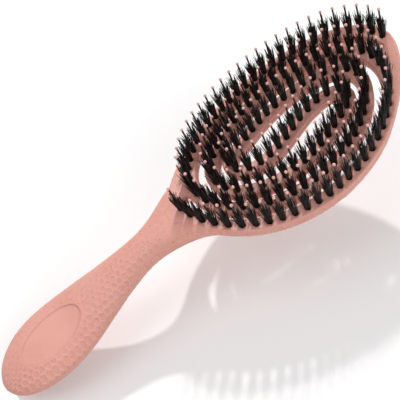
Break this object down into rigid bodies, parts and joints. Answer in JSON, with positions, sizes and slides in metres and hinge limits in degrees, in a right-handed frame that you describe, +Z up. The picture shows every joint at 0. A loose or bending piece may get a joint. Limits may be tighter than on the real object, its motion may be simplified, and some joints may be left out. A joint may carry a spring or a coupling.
{
  "type": "detangling brush",
  "caption": "Vented detangling brush: a sprung double-spiral head with ball-tipped pins in bristle tufts, on a swelling oval handle.",
  "frame": {"origin": "under the middle of the brush, on the table it lies on with its bristles up", "axes": "+X from the handle to the toe of the head, +Z up along the bristles"},
  "size_m": [0.2252, 0.0802, 0.0338],
  "materials": {
    "straw_plastic": "matte, straw-filled",
    "bristle": "natural bristle",
    "pin": "smooth nylon",
    "pin_tip": "smooth"
  },
  "bodies": {
    "rim": {"handle_and_rim": "straw_plastic", "rim_cover": "straw_plastic", "rim_bristles": "bristle", "rim_pins": "pin", "rim_pin_tips": "pin_tip"},
    "toe_arm_outer": {"toe_arm_outer_front": "straw_plastic", "toe_arm_outer_cover": "straw_plastic", "toe_arm_outer_bristles": "bristle", "toe_arm_outer_pins": "pin", "toe_arm_outer_pin_tips": "pin_tip"},
    "toe_arm_inner": {"toe_arm_inner_front": "straw_plastic", "toe_arm_inner_cover": "straw_plastic", "toe_arm_inner_bristles": "bristle", "toe_arm_inner_pins": "pin", "toe_arm_inner_pin_tips": "pin_tip"},
    "centre_bar": {"centre_bar_front": "straw_plastic", "centre_bar_cover": "straw_plastic", "centre_bar_bristles": "bristle", "centre_bar_pins": "pin", "centre_bar_pin_tips": "pin_tip"},
    "heel_arm_outer": {"heel_arm_outer_front": "straw_plastic", "heel_arm_outer_cover": "straw_plastic", "heel_arm_outer_bristles": "bristle", "heel_arm_outer_pins": "pin", "heel_arm_outer_pin_tips": "pin_tip"},
    "heel_arm_inner": {"heel_arm_inner_front": "straw_plastic", "heel_arm_inner_cover": "straw_plastic", "heel_arm_inner_bristles": "bristle", "heel_arm_inner_pins": "pin", "heel_arm_inner_pin_tips": "pin_tip"}
  },
  "joints": [
    {"name": "toe_outer_flex", "type": "hinge", "parent": "rim", "child": "toe_arm_outer", "pos_m": [0.09965, 0, 0.00771], "axis": [0, 1, 0], "range_deg": [-2.5, 2.5], "stiffness_Nm_per_rad": 4},
    {"name": "toe_inner_flex", "type": "hinge", "parent": "toe_arm_outer", "child": "toe_arm_inner", "pos_m": [0.00975, 0, 0.00823], "axis": [0, 1, 0], "range_deg": [-5.1, 5.1]},
    {"name": "centre_flex", "type": "hinge", "parent": "toe_arm_inner", "child": "centre_bar", "pos_m": [0.07985, -0.0047, 0.00405], "axis": [0, 1, 0], "range_deg": [-2.6, 2.6]},
    {"name": "heel_outer_flex", "type": "hinge", "parent": "rim", "child": "heel_arm_outer", "pos_m": [-0.00015, 0, 0.01103], "axis": [0, 1, 0], "range_deg": [-2.6, 2.6]},
    {"name": "heel_inner_flex", "type": "hinge", "parent": "heel_arm_outer", "child": "heel_arm_inner", "pos_m": [0.08975, 0, 0.00561], "axis": [0, 1, 0], "range_deg": [-5.1, 5.1]}
  ],
  "couplings": [
    {"joint": "toe_inner_flex", "follows": "toe_outer_flex", "ratio": -2},
    {"joint": "centre_flex", "follows": "toe_outer_flex", "ratio": 1},
    {"joint": "heel_outer_flex", "follows": "toe_outer_flex", "ratio": -1},
    {"joint": "heel_inner_flex", "follows": "toe_outer_flex", "ratio": 2}
  ]
}
